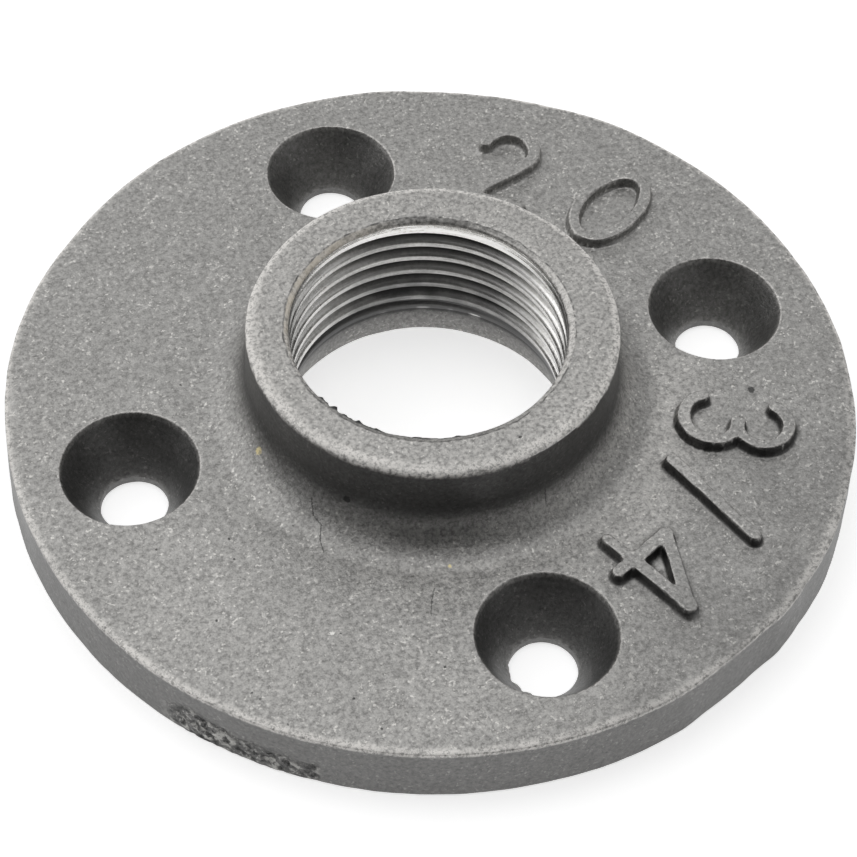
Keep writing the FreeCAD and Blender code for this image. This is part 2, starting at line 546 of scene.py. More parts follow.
def grown(tree, points, **sizes):
    """The plain mesh that a Geometry Nodes tree makes from a row of (radius, height) points in mm."""
    mesh = bpy.data.meshes.new(tree.name)
    corners = [(radius * MM, 0, height * MM) for radius, height in points]
    mesh.from_pydata(corners, [(i, i + 1) for i in range(len(corners) - 1)], [])
    thing = bpy.data.objects.new(tree.name, mesh)
    bpy.context.scene.collection.objects.link(thing)
    maker = thing.modifiers.new("maker", "NODES")
    maker.node_group = tree
    for entry in tree.interface.items_tree:
        if entry.in_out == "INPUT" and entry.name in sizes:
            maker[entry.identifier] = sizes[entry.name]
    bpy.context.view_layer.update()
    result = bpy.data.meshes.new_from_object(thing.evaluated_get(bpy.context.evaluated_depsgraph_get()))
    thing.modifiers.remove(maker)
    bpy.data.objects.remove(thing)
    return result


# Raised marks: a plain mark for the pipe size, stroke by stroke

def arc_points(centre, radius, start, end, tall=1.0, count=16):
    """Points on an arc from one angle to another, in degrees, stretched along the second axis."""
    angles = np.radians(np.linspace(start, end, count))
    return [(centre[0] + radius * math.cos(a), centre[1] + radius * tall * math.sin(a)) for a in angles]


FIGURE_STROKES = {
    "2": [arc_points((0, 2.15), 2.45, 168, -28) + [(-2.5, -4.6)], [(-2.5, -4.6), (2.7, -4.6)]],
    "0": [arc_points((0, 0), 2.6, 0, 360, tall=1.76, count=41)],
    "3": [arc_points((0, 2.3), 2.3, 158, -90), arc_points((0, -2.25), 2.5, 90, -158)],
    "/": [[(-2.0, -4.7), (2.0, 4.7)]],
    "4": [[(1.2, -4.6), (1.2, 4.6)], [(1.2, 4.6), (-2.9, -1.7)], [(-2.9, -1.7), (3.0, -1.7)]],
}
MARKS = (("2", 55.0), ("0", 31.5), ("3", -29.0), ("/", -47.5), ("4", -66.0))   # figure, angle in degrees


def mark_strokes():
    """Every stroke of every raised figure, as points on the plate."""
    strokes = []
    for figure, degrees in MARKS:
        outward = plane_direction(degrees)
        along = np.array([outward[1], -outward[0]])
        for stroke in FIGURE_STROKES[figure]:
            strokes.append(np.array([(MARK_CIRCLE_RADIUS + v) * outward + u * along for u, v in stroke]))
    return strokes


MARK_STROKES = mark_strokes()


def distance_to_stroke(points, stroke):
    """How far each point on the plate is from the middle line of a stroke."""
    nearest = np.full(len(points), 1e3)
    for start, end in zip(stroke[:-1], stroke[1:]):
        way = end - start
        share = np.clip((points - start) @ way / (way @ way), 0, 1)
        away = np.linalg.norm(points - start - share[:, None] * way, axis=1)
        nearest = np.minimum(nearest, away)
    return nearest


def distance_to_marks(points):
    """How far each point on the plate is from the middle line of the nearest stroke."""
    return np.min([distance_to_stroke(points, stroke) for stroke in MARK_STROKES], axis=0)


def thinned(points, spacing):
    """The points, less any that come nearer to an earlier one than the spacing."""
    kept = []
    taken = {}
    for point in points:
        column = math.floor(point[0] / spacing)
        row = math.floor(point[1] / spacing)
        near = [q for i in (-1, 0, 1) for j in (-1, 0, 1) for q in taken.get((column + i, row + j), ())]
        if all((point[0] - q[0]) ** 2 + (point[1] - q[1]) ** 2 > spacing ** 2 for q in near):
            taken.setdefault((column, row), []).append(point)
            kept.append(point)
    return np.array(kept)


def beside_stroke(stroke, away, step):
    """Points at a distance from a stroke, on both its sides and round each of its corners."""
    points = []
    for start, end in zip(stroke[:-1], stroke[1:]):
        way = end - start
        length = np.linalg.norm(way)
        side = np.array([-way[1], way[0]]) / length * away
        count = max(1, round(length / step))
        for share in (np.arange(count) + 0.5) / count:
            points += [start + share * way + side, start + share * way - side]
    for tip in stroke:
        count = max(1, round(math.tau * away / step))
        points += [tip + away * plane_direction(360 * i / count) for i in range(count)]
    return points


def mark_rows():
    """Points in rows that run beside each stroke, so that the mesh follows its walls."""
    rows = []
    for away, step in MARK_ROWS:
        candidates = np.vstack([beside_stroke(stroke, away, step) for stroke in MARK_STROKES])
        held = candidates[np.abs(distance_to_marks(candidates) - away) < 0.01]
        rows.append(thinned(held, step * 0.7))
    return np.vstack(rows)


# Flat faces with holes

def loop(radius, steps, centre=(0.0, 0.0), start=0.0):
    """The points of a ring, as a turned wall of the same steps places them."""
    angles = np.arange(steps) * math.tau / steps + start
    return np.stack([centre[0] + radius * np.cos(angles), centre[1] + radius * np.sin(angles)], 1)


def ring_edges(rings):
    """The edges of closed rings whose points follow each other in one list."""
    edges = []
    first = 0
    for ring in rings:
        count = len(ring)
        edges += [(first + i, first + (i + 1) % count) for i in range(count)]
        first += count
    return edges


def screw_hole_centres():
    """The middle of each screw hole and its turn about the axis."""
    for index in range(SCREW_HOLE_COUNT):
        turn = math.tau * index / SCREW_HOLE_COUNT
        yield (SCREW_CIRCLE_RADIUS * math.cos(turn), SCREW_CIRCLE_RADIUS * math.sin(turn)), turn


def scattered_points(half, spacing):
    """Staggered rows of points over a square, each a little out of line."""
    rows = np.arange(-half, half, spacing * math.sqrt(3) / 2)
    columns = np.arange(-half, half, spacing)
    field = np.array([(x + spacing / 2 * (i % 2), y) for i, y in enumerate(rows) for x in columns])
    jitter = np.random.default_rng(FIELD_SEED).uniform(-FIELD_JITTER, FIELD_JITTER, field.shape)
    return field + jitter * spacing


def within_face(points, outer_radius, inner_radius, hole_radius):
    """Which points lie between two rings and outside every screw hole."""
    reach = np.linalg.norm(points, axis=1)
    inside = (reach < outer_radius) & (reach > inner_radius)
    for centre, _ in screw_hole_centres():
        inside &= np.linalg.norm(points - np.array(centre), axis=1) > hole_radius
    return inside


def flat_face(outer, inner, hole_radius, spacing, height, extra=None):
    """A flat face between two rings, with the screw holes left open, as points and triangles.

    A ring is its radius and its steps. Extra points replace the face's own beside the raised marks.
    """
    rings = [loop(*outer), loop(*inner)]
    rings += [loop(hole_radius, SINK_STEPS, centre, turn) for centre, turn in screw_hole_centres()]
    field = scattered_points(outer[0], spacing)
    if extra is not None:
        field = np.vstack([extra, field[distance_to_marks(field) > MARK_CLEARANCE]])
    clear = spacing * 0.55
    field = field[within_face(field, outer[0] - clear, inner[0] + clear, hole_radius + clear)]
    points = [Vector(p) for p in np.vstack(rings + [field])]
    flat, _, faces, *_ = delaunay_2d_cdt(points, ring_edges(rings), [], 0, 1e-4)
    flat = np.array([tuple(p) for p in flat])
    faces = np.array(faces)
    inner_flat = inner[0] * math.cos(math.pi / inner[1])
    hole_flat = hole_radius * math.cos(math.pi / SINK_STEPS)
    faces = faces[within_face(flat[faces].mean(1), outer[0], inner_flat, hole_flat)]
    return np.column_stack([flat, np.full(len(flat), height)]), faces


def face_mesh(name, solid, faces, material):
    """A mesh from points in mm and triangles."""
    mesh = bpy.data.meshes.new(name)
    mesh.from_pydata((solid * MM).tolist(), [], faces.tolist())
    mesh.materials.append(material)
    return mesh


def joined(meshes, materials):
    """One closed shell from meshes that meet edge to edge, with its faces pointing outwards."""
    shell = bmesh.new()
    for mesh in meshes:
        slot = materials.index(mesh.materials[mesh.polygons[0].material_index])
        first = len(shell.faces)
        shell.from_mesh(mesh)
        shell.faces.ensure_lookup_table()
        for face in shell.faces[first:]:
            face.material_index = slot
        bpy.data.meshes.remove(mesh)
    loose = [v for v in shell.verts if not v.link_faces]
    bmesh.ops.delete(shell, geom=loose, context="VERTS")
    bmesh.ops.remove_doubles(shell, verts=shell.verts[:], dist=JOIN_DISTANCE * MM)
    bmesh.ops.recalc_face_normals(shell, faces=shell.faces[:])
    mesh = bpy.data.meshes.new("casting")
    for material in materials:
        mesh.materials.append(material)
    shell.to_mesh(mesh)
    shell.free()
    return mesh


# The casting's skin: what the mould, the tap and the tumbling barrel left on it

def noise_at(points, size, shift):
    """Smooth noise from about -1 to 1 at each point, with features of about a size in mm.

    The shift picks a part of the pattern, so that no two uses of it match.
    """
    scaled = points / size + shift
    return np.array([noise.noise(Vector(p)) for p in scaled])


def mesh_arrays(mesh):
    """The mesh's points in mm, its point normals and its edges, as arrays."""
    count = len(mesh.vertices)
    points = np.empty(count * 3)
    mesh.vertices.foreach_get("co", points)
    normals = np.empty(count * 3)
    mesh.vertex_normals.foreach_get("vector", normals)
    edges = np.empty(len(mesh.edges) * 2, int)
    mesh.edges.foreach_get("vertices", edges)
    return points.reshape(-1, 3) / MM, normals.reshape(-1, 3), edges.reshape(-1, 2)


def move_points(mesh, points):
    """Put the mesh's points at new places, in mm."""
    mesh.vertices.foreach_set("co", (points * MM).ravel())
    mesh.update()


def about_axis(points):
    """Each point's distance from the Z axis, and its angle in degrees."""
    return np.linalg.norm(points[:, :2], axis=1), np.degrees(np.arctan2(points[:, 1], points[:, 0]))


def neighbour_mean(values, edges):
    """The mean of each point's neighbours."""
    total = np.zeros(len(values))
    many = np.zeros(len(values))
    for near, far in ((0, 1), (1, 0)):
        np.add.at(total, edges[:, near], values[edges[:, far]])
        np.add.at(many, edges[:, near], 1)
    return total / many


def curvature(points, normals, edges):
    """How sharply the skin bulges outwards at each point, per mm. Hollows are negative."""
    total = np.zeros(len(points))
    many = np.zeros(len(points))
    for near, far in ((0, 1), (1, 0)):
        way = points[edges[:, near]] - points[edges[:, far]]
        rise = np.einsum("ij,ij->i", way, normals[edges[:, near]])
        np.add.at(total, edges[:, near], 2 * rise / np.sum(way * way, axis=1))
        np.add.at(many, edges[:, near], 1)
    return total / many


def mark_lift(points):
    """How much the marks raise each point of the front face, with the unevenness of cast strokes."""
    each = np.array([distance_to_stroke(points[:, :2], stroke) for stroke in MARK_STROKES])
    away = -MARK_FILLET * np.log(np.exp(-np.minimum(each, 6) / MARK_FILLET).sum(0))
    away = away + 0.08 * noise_at(points, 1.5, 2.2) + 0.1 * noise_at(points, 4.0, 6.1)
    height = MARK_HEIGHT * (1 + 0.12 * noise_at(points, 3.0, 11.0))
    return height * (1 - smoothstep(away, MARK_TOP_HALF_WIDTH, MARK_FOOT_HALF_WIDTH))


def raise_marks(mesh):
    """Raise the marks on the flat front face."""
    points, _, _ = mesh_arrays(mesh)
    radius, _ = about_axis(points)
    on_face = (radius > FACE_INNER_RADIUS - 0.1) & (radius < FACE_OUTER_RADIUS)
    on_face &= points[:, 2] > PLATE_THICKNESS - 0.05
    points[:, 2] += np.where(on_face, mark_lift(points), 0)
    move_points(mesh, points)


def mould_relief(points, radius):
    """How far the mould's own unevenness moves each point along its normal."""
    relief = sum(height * noise_at(points, size, shift) for size, shift, height in MOULD_RELIEF)
    off_ends = np.minimum(points[:, 2], OVERALL_HEIGHT - points[:, 2]) > 0.3
    in_bore = off_ends & (radius < CORE_OPENING_RADIUS + 0.1)
    return np.where(in_bore, BORE_RELIEF_SHARE * relief, relief)


def bumps_round(angles, bumps):
    """The height of a row of tapering bumps at each angle, in degrees."""
    height = np.zeros(len(angles))
    for middle, half_width, size in bumps:
        off = degrees_apart(angles, middle) / half_width
        height = np.maximum(height, size * smoothstep(1 - off, 0, 0.7))
    return height


def mouth_burrs(points, radius, angles):
    """How far torn burrs stand into the bore, just under the mouth's edge."""
    below_edge = OVERALL_HEIGHT - points[:, 2]
    under_edge = (1 - smoothstep(below_edge, 0.46, 0.54)) * smoothstep(below_edge, 0.1, 0.28)
    jagged = 0.5 + 0.5 * noise_at(points, 0.42, 31.0) + 0.3 * noise_at(points, 1.6, 3.0)
    return np.where(radius < MOUTH_RADIUS + 0.1, under_edge * bumps_round(angles, MOUTH_BURRS) * jagged, 0)


def gate_scar(points, radius, angles):
    """How strongly the broken gate shows at each point of the rim, from 0 to 1."""
    along = smoothstep(angles, GATE_SCAR_START, GATE_SCAR_START + 5)
    along = along * (1 - smoothstep(angles, GATE_SCAR_END - 1.2, GATE_SCAR_END))
    top = GATE_SCAR_TOP * (1.1 - 0.35 * smoothstep(angles, GATE_SCAR_START, GATE_SCAR_END))
    ragged = points[:, 2] + 0.7 * noise_at(points, 2.4, 5.5)
    below = 1 - smoothstep(ragged, top - 0.8, top + 0.4)
    off_back = smoothstep(points[:, 2], 0.0, 0.3)
    return np.where(radius > PLATE_RADIUS - 1.2, along * below * off_back, 0)


def broken_skin(points):
    """The lumps and crevices of broken iron, from about -0.9 in a crevice to 0.25 on a lump."""
    lumps = np.abs(noise_at(points * (1, 1, 1.5), 1.15, 3.7))
    crumbs = noise_at(points, 0.6, 8.8)
    return 0.25 * np.clip(lumps * 2, 0, 1) - np.clip(0.5 - lumps * 2.6, 0, 1) - 0.4 * np.clip(crumbs, 0, 1)


def push_outwards(points, distance, centre=(0.0, 0.0)):
    """Move points away from an upright axis."""
    way = points[:, :2] - np.array(centre)
    way /= np.linalg.norm(way, axis=1)[:, None]
    points[:, :2] += way * distance[:, None]


def widen_mouth(points, radius, angles):
    """Let the mouth's chamfer wander and run wider in places."""
    by_mouth = smoothstep(points[:, 2], THREAD_TOP + 0.08, OVERALL_HEIGHT - 0.05)
    by_mouth = by_mouth * (1 - smoothstep(radius, MOUTH_RADIUS + 0.3, MOUTH_RADIUS + 1.6))
    uneven = 0.08 * noise_at(points, 0.45, 14.0) + 0.04 * noise_at(points, 2.0, 3.3)
    push_outwards(points, by_mouth * (bumps_round(angles, MOUTH_WIDE) + uneven))


def flash_and_flats(points, radius, angles):
    """The mould's flash and the ground flats on the rim."""
    on_rim = smoothstep(radius, PLATE_RADIUS - 1.5, PLATE_RADIUS - 0.5)
    push_outwards(points, on_rim * (bumps_round(angles, RIM_FLASH) - bumps_round(angles, RIM_FLATS)))


def shift_bore(points, radius):
    """Move the tapped bore and the cored opening off the hub's centre, each by its own error."""
    core = np.clip(1 - points[:, 2] / CORE_OPENING_DEPTH, 0, 1)
    core = core * (1 - smoothstep(radius, CORE_SHIFT_FULL, CORE_SHIFT_NONE))
    tap = (1 - smoothstep(radius, TAP_OFFSET_FULL, TAP_OFFSET_NONE)) * (1 - core)
    points[:, :2] += core[:, None] * np.array(CORE_SHIFT) + tap[:, None] * np.array(TAP_OFFSET)


def leave_hole_flash(points):
    """Leave a jagged flash on the near side of the front right screw hole."""
    centre = np.array([0.0, -SCREW_CIRCLE_RADIUS])
    reach, angles = about_axis(points - (*centre, 0))
    low = (reach < SCREW_HOLE_RADIUS + 0.15) & (points[:, 2] < SCREW_HOLE_LAND + 0.1)
    jagged = 0.8 + 0.6 * noise_at(points, 0.6, 12.0)
    flash = np.where(low, bumps_round(angles, HOLE_FLASH) * jagged, 0)
    push_outwards(points, -flash, centre)


def shape_casting(mesh):
    """Give the turned blank its marks, its cast skin, its burrs and its scars.

    Returns where the broken gate, the mouth's burrs and the mouth's lip are, for each point.
    """
    raise_marks(mesh)
    points, normals, _ = mesh_arrays(mesh)
    radius, angles = about_axis(points)
    scar = gate_scar(points, radius, angles)
    burrs = mouth_burrs(points, radius, angles)
    at_lip = (np.abs(points[:, 2] - OVERALL_HEIGHT + 0.04) < 0.035) & (radius < MOUTH_RADIUS + 0.3)
    scar_depth = 0.1 + 0.5 * smoothstep(points[:, 2], 0.0, 1.6)
    relief = mould_relief(points, radius) + scar * scar_depth * broken_skin(points)
    points = points + normals * relief[:, None]
    push_outwards(points, -burrs)
    widen_mouth(points, radius, angles)
    flash_and_flats(points, radius, angles)
    shift_bore(points, radius)
    leave_hole_flash(points)
    move_points(mesh, np.clip(points, np.array(NODE_LOW) / MM, np.array(NODE_HIGH) / MM))
    return scar, burrs, at_lip


# Wear, dirt and painted light and shade, as numbers on the mesh's points that the materials read

class Skin:
    """The shaped casting's points, and which of its surfaces each one lies on."""

    def __init__(self, mesh, scar, burrs, at_lip):
        self.scar = scar
        self.burred = smoothstep(burrs, 0.05, 0.2)
        self.at_lip = at_lip
        self.points, self.normals, edges = mesh_arrays(mesh)
        self.height = self.points[:, 2]
        self.radius, self.angles = about_axis(self.points)
        bulge = np.clip(curvature(self.points, self.normals, edges), -2, 2)
        self.bulge = 0.6 * bulge + 0.4 * neighbour_mean(bulge, edges)
        self.find_surfaces()

    def find_surfaces(self):
        """Which points lie beside a mark or a screw hole, and on the plate, the hub and the bore."""
        above_face = self.height > PLATE_THICKNESS - 0.3
        near_mark = distance_to_marks(self.points[:, :2]) < 1.4
        self.by_mark = near_mark & above_face & (self.radius > FACE_INNER_RADIUS - 1)
        self.by_hole = np.zeros(len(self.points), bool)
        for centre, _ in screw_hole_centres():
            reach, _ = about_axis(self.points - (*centre, 0))
            self.by_hole |= reach < SINK_MOUTH_RADIUS + 0.3
        self.in_sink = self.by_hole & ~above_face
        self.on_plate = above_face & (self.height < 9) & (self.radius > HUB_RADIUS)
        self.on_back = self.height < 0.06
        hub_end_foot = OVERALL_HEIGHT - HUB_SHOULDER_DROP
        self.on_hub_end = (self.height > hub_end_foot) & (self.radius > MOUTH_RADIUS + 0.2)
        self.on_chamfer = (self.height > THREAD_TOP + 0.02) & (self.height < OVERALL_HEIGHT - 0.02)
        self.on_chamfer &= self.radius < MOUTH_RADIUS + 0.5
        self.in_thread = (self.height > THREAD_FOOT) & (self.height < THREAD_TOP) & (self.radius < BORE_REACH)
        self.in_core = (self.height < THREAD_FOOT - 0.1) & (self.radius < CORE_OPENING_RADIUS + 0.8)

    def towards(self, degrees):
        """How far each point lies towards a side, as a share of the plate's radius."""
        return self.points[:, :2] @ plane_direction(degrees) / PLATE_RADIUS

    def near_angle(self, middle, start, end):
        """1 within start degrees of an angle, and a smooth fall to 0 at end degrees from it."""
        return 1 - smoothstep(degrees_apart(self.angles, middle), start, end)


def edge_wear(skin):
    """How silvery the barrel left the shoulders of the edges, where they face the front."""
    tilt = np.degrees(np.arccos(np.clip(skin.normals[:, 2], -1, 1)))
    on_shoulder = smoothstep(tilt, 4, 14) * (1 - smoothstep(tilt, 48, 72))
    silvering = on_shoulder * smoothstep(skin.bulge, 0.06, 0.3) * np.where(skin.by_mark, 0.4, 1)
    return np.where(skin.by_hole, 0.45 * silvering, silvering)


def run_out_flakes(skin):
    """Bright flakes where the thread runs out into the cored opening."""
    at_run_out = (np.abs(skin.height - THREAD_FOOT) < 0.2) & (skin.radius < BORE_REACH)
    return bumps_round(skin.angles, RUN_OUT_FLAKES) * at_run_out


def plate_painted_light(skin):
    """Painted light on the plate: how much it is brightened, and how much darkened.

    A painted highlight makes it brighter towards its front and about the hub's foot, and painted shade makes
    it darker on its right.
    """
    # Painted highlight about the hub's foot, at the front
    foot = 0.2 * np.exp(-((skin.radius - 17.5) / 0.9) ** 2)
    foot = foot + 0.18 * smoothstep(skin.radius, 19.2, 20.4) * (1 - smoothstep(skin.radius, 23, 27))
    foot = foot * skin.near_angle(FRONT_ANGLE + 35, 45, 85)
    # Painted highlight towards the front, and painted shade on the right
    painted_sheen = 0.1 * smoothstep(skin.towards(FRONT_ANGLE - 22), 0.2, 0.75)
    painted_dimming = 0.25 * smoothstep(skin.towards(FRONT_ANGLE + 55), 0.45, 0.95)
    uneven = np.where(skin.on_plate, 1 + 0.5 * noise_at(skin.points, 4.5, 13.0), 0)
    return np.maximum(foot, painted_sheen) * uneven, painted_dimming * uneven


def hub_end_wear_and_sheen(skin):
    """A thin polish on the hub's end face, and a bright outer edge: worn metal, with a painted highlight that
    makes it strongest at the front.
    """
    mottle = 0.75 + 0.6 * noise_at(skin.points, 1.0, 7.7) + 0.3 * noise_at(skin.points, 4.0, 1.7)
    edge = smoothstep(skin.radius, HUB_RADIUS - 1.5, HUB_RADIUS - 0.7)
    edge = edge * (0.2 + 0.8 * skin.near_angle(-125, 50, 120))
    return np.where(skin.on_hub_end, np.maximum(0.22, edge * np.clip(mottle, 0.1, 1.1)), 0)


def rim_edge_wear_and_sheen(skin):
    """The rim's bright front edge: worn metal, with a painted highlight that makes it strongest at the front.
    """
    edge = smoothstep(skin.radius, PLATE_RADIUS - 1.2, PLATE_RADIUS - 0.5)
    edge = edge * (skin.height > PLATE_THICKNESS - 0.28)
    return edge * (0.15 + 0.85 * skin.near_angle(-108, 40, 105))


def wear_and_painted_sheen(skin, painted_sheen, flakes, crumbs):
    """How silvery each point is, from 0 to 1: wear from the barrel and the tap, and painted highlights on the
    plate, on the front of the edges and on the chamfer.
    """
    silvering = np.maximum.reduce([edge_wear(skin), flakes, painted_sheen])
    silvering = np.where(skin.radius < MOUTH_RADIUS + 0.7, 0.3 * silvering, silvering)
    # The cut chamfer is silvery all round, with painted highlights on two sides
    silvering = np.where(skin.on_chamfer, 0.3 + 0.65 * bumps_round(skin.angles, CHAMFER_SHINE), silvering)
    silvering = np.where(skin.at_lip, silvering * (1 - crumbs), silvering)
    silvering = np.maximum.reduce([silvering, hub_end_wear_and_sheen(skin), rim_edge_wear_and_sheen(skin)])
    patchy = 0.95 + 0.4 * noise_at(skin.points, 6.0, 2.9) + 0.6 * noise_at(skin.points, 1.2, 21.0)
    silvering = np.where(skin.radius > PLATE_RADIUS - 2, silvering * np.clip(patchy, 0.25, 1.15), silvering)
    return silvering * (1 - skin.scar) * (1 - skin.burred)


def front_side(skin):
    """How much each point's wall faces the front, and how near it lies: 1 in front and 0.2 at the back."""
    facing = smoothstep(skin.normals[:, :2] @ plane_direction(FRONT_ANGLE), -0.35, 0.25)
    return facing, 1 - 0.8 * smoothstep(skin.towards(FRONT_ANGLE), -0.1, -0.5)


def thread_oil_and_shade(skin):
    """Oil and painted shade in the thread's grooves, the shade most on the wall that faces the front, and
    painted shade in the last groove and the cored opening.
    """
    height = skin.height
    far_wall = skin.near_angle(FRONT_ANGLE + 180, 20, 70)
    in_groove = skin.in_thread & (height < 13.7)
    cut = np.linalg.norm(skin.points[:, :2] - np.array(TAP_OFFSET), axis=1) - CREST_RADIUS
    oil_and_shade = smoothstep(cut, 0.05, 0.5) * (0.08 + 0.82 * far_wall)
    film_and_shade = (1 - smoothstep(height, 12.2, 13.0)) * (0.42 + 0.26 * (1 - smoothstep(height, 4, 11)))
    film_and_shade = film_and_shade * (0.22 + 0.78 * far_wall) * (1 + 0.25 * noise_at(skin.points, 1.6, 9.9))
    by_foot = (skin.radius < BORE_REACH) & (height > THREAD_FOOT - 0.3)
    # Painted shade: a dark line at the last groove, and in the cored opening
    last_groove = np.where(by_foot, 0.95 * (1 - smoothstep(height, 3.7, 4.1)), 0)
    opening = np.where(skin.in_core, 0.35 * smoothstep(height, 1.2, THREAD_FOOT), 0)
    return np.maximum.reduce([np.where(in_groove, np.maximum(oil_and_shade, film_and_shade), 0), last_groove, opening])


def painted_shade_and_dirt(skin, painted_dimming, flakes, crumbs):
    """How dark each point is made, from 0 to 1: mostly painted shade, with oil, dark burrs and a broken lip.
    """
    # Painted shade in hollows and creases
    shade_and_dirt = np.clip(-skin.bulge / 1.5, 0, 1)
    facing, nearness = front_side(skin)
    wall = smoothstep(1 - skin.normals[:, 2], 0.12, 0.4)
    # Painted shade on the marks' walls that face the front, less on the marks further back
    mark_shade = np.maximum(0.6 * shade_and_dirt, 0.46 * wall) * (0.02 + 0.98 * facing) * nearness
    shade_and_dirt = np.where(skin.by_mark, mark_shade, shade_and_dirt)
    shade_and_dirt = np.maximum(shade_and_dirt * np.where(skin.in_thread, 0.4, 1), thread_oil_and_shade(skin)) * (1 - flakes)
    # The hub's root is a little darker
    by_root = smoothstep(21.6 - skin.radius, 0, 2.2) * (1 - smoothstep(skin.height, 9.5, 12.5))
    root = np.where(skin.radius > HUB_RADIUS - 0.3, 0.1 * by_root, 0)
    shade_and_dirt = np.maximum.reduce([shade_and_dirt, root, painted_dimming])
    shade_and_dirt = np.where(skin.on_chamfer, np.minimum(shade_and_dirt, 0.08), shade_and_dirt)
    shade_and_dirt = np.where(skin.at_lip, 0.55 * crumbs, shade_and_dirt)
    # Painted shade in the broken gate's crevices
    crevices = skin.scar * np.clip(-0.3 * broken_skin(skin.points), 0, 1)
    shade_and_dirt = np.maximum.reduce([shade_and_dirt * (1 - 0.5 * skin.scar), crevices, 0.8 * skin.burred])
    return np.where(skin.on_back, 0, shade_and_dirt)


def steep_wall_shade(skin):
    """Painted shade: how much darker each point is for the steepness of its wall, from 0 to 1."""
    steep = 1 - smoothstep(np.abs(skin.normals[:, 2]), 0.2, 0.82)
    # In the cored opening the painted shade grows towards its top
    steep = np.where(skin.in_core, (0.25 + 0.6 * skin.height / THREAD_FOOT) * steep, steep)
    steep = np.where(skin.on_chamfer, 0.1 * steep, steep)
    # Beside the marks it stays on the walls that face the front, most on the nearer marks
    facing, nearness = front_side(skin)
    steep = np.where(skin.by_mark, steep * (0.2 + 0.8 * facing) * nearness, steep)
    # The countersinks are darker still: dark scale, with more painted shade on the holes towards the front
    scale_and_shade = np.minimum(1, steep + 0.36 * smoothstep(skin.towards(FRONT_ANGLE), 0, 0.2))
    steep = np.where(skin.in_sink, scale_and_shade, steep)
    return np.where(skin.on_back, 0, steep)


def set_point_values(mesh, name, values):
    """Store one number for each point, for the materials to read."""
    layer = mesh.attributes.new(name, "FLOAT", "POINT")
    layer.data.foreach_set("value", np.asarray(values, np.float32))


def mark_wear_and_painted_light(mesh, scar, burrs, at_lip):
    """Store where the barrel polished the skin, where dirt and a tan stain stayed, and where light and shade
    are painted.
    """
    skin = Skin(mesh, scar, burrs, at_lip)
    painted_sheen, painted_dimming = plate_painted_light(skin)
    flakes = run_out_flakes(skin)
    crumbs = np.clip(0.6 + 0.9 * noise_at(skin.points, 0.42, 19.0), 0, 1)
    stain = bumps_round(skin.angles, CHAMFER_TAN) * np.clip(0.7 + 0.7 * noise_at(skin.points, 1.3, 6.6), 0, 1)
    set_point_values(mesh, "silvering", wear_and_painted_sheen(skin, painted_sheen, flakes, crumbs))
    set_point_values(mesh, "shade_and_dirt", painted_shade_and_dirt(skin, painted_dimming, flakes, crumbs))
    set_point_values(mesh, "steep", steep_wall_shade(skin))
    set_point_values(mesh, "broken", scar)
    set_point_values(mesh, "tan", np.where(skin.on_chamfer & ~at_lip, stain, 0))


# Materials

def new_material(name):
    """An empty node material with a Principled BSDF. Returns the material, its tree and the shader."""
    material = bpy.data.materials.new(name)
    material.use_nodes = True
    tree = material.node_tree
    tree.nodes.clear()
    shader = add_node(tree, "ShaderNodeBsdfPrincipled")
    out = add_node(tree, "ShaderNodeOutputMaterial")
    tree.links.new(shader.outputs[0], out.inputs[0])
    return material, tree, shader


def object_place(tree):
    """Object coordinates."""
    return add_node(tree, "ShaderNodeTexCoord").outputs["Object"]


def object_noise(tree, scale, detail=2.0, roughness=0.5):
    """Noise on Object coordinates. The scale is features per metre."""
    made = add_node(tree, "ShaderNodeTexNoise")
    feed(tree, made.inputs["Vector"], object_place(tree))
    feed(tree, made.inputs["Scale"], scale)
    feed(tree, made.inputs["Detail"], detail)
    feed(tree, made.inputs["Roughness"], roughness)
    return made.outputs[0]


def blend_colours(tree, factor, first, second):
    """The first colour where the factor is 0, and the second where it is 1."""
    made = add_node(tree, "ShaderNodeMix", data_type="RGBA")
    feed(tree, made.inputs[0], factor)
    feed(tree, made.inputs[6], first)
    feed(tree, made.inputs[7], second)
    return made.outputs[2]


def point_value(tree, name):
    """A number stored on the mesh's points."""
    made = add_node(tree, "ShaderNodeAttribute", attribute_name=name)
    return made.outputs["Fac"]


def bump(tree, height, distance, strength=1.0, under=None):
    """A Bump node's normal."""
    made = add_node(tree, "ShaderNodeBump")
    feed(tree, made.inputs["Strength"], strength)
    feed(tree, made.inputs["Distance"], distance)
    feed(tree, made.inputs["Height"], height)
    if under is not None:
        feed(tree, made.inputs["Normal"], under)
    return made.outputs[0]


def small_pits(tree, size, share):
    """Scattered small pits: 1 in a pit and 0 elsewhere. The size is a cell of the pattern, in mm."""
    cells = add_node(tree, "ShaderNodeTexVoronoi", feature="F1")
    feed(tree, cells.inputs["Vector"], object_place(tree))
    feed(tree, cells.inputs["Scale"], 1000.0 / size)
    feed(tree, cells.inputs["Randomness"], 1.0)
    ragged = maths(tree, "MULTIPLY_ADD", object_noise(tree, 8000.0, 2.0), share, cells.outputs["Distance"])
    return ramp_between(tree, ragged, share * 1.45, share)


def wobbling_place(tree, size, amount):
    """Object coordinates with a small random wobble, so that spots and lines come out ragged. In mm."""
    where = object_place(tree)
    wobble = add_node(tree, "ShaderNodeTexNoise")
    feed(tree, wobble.inputs["Vector"], where)
    feed(tree, wobble.inputs["Scale"], 1000.0 / size)
    feed(tree, wobble.inputs["Detail"], 2.0)
    middle = vector_maths(tree, "SUBTRACT", wobble.outputs["Color"], (0.5, 0.5, 0.5))
    shift = vector_maths(tree, "MULTIPLY", middle, (amount * MM,) * 3)
    return vector_maths(tree, "ADD", where, shift)


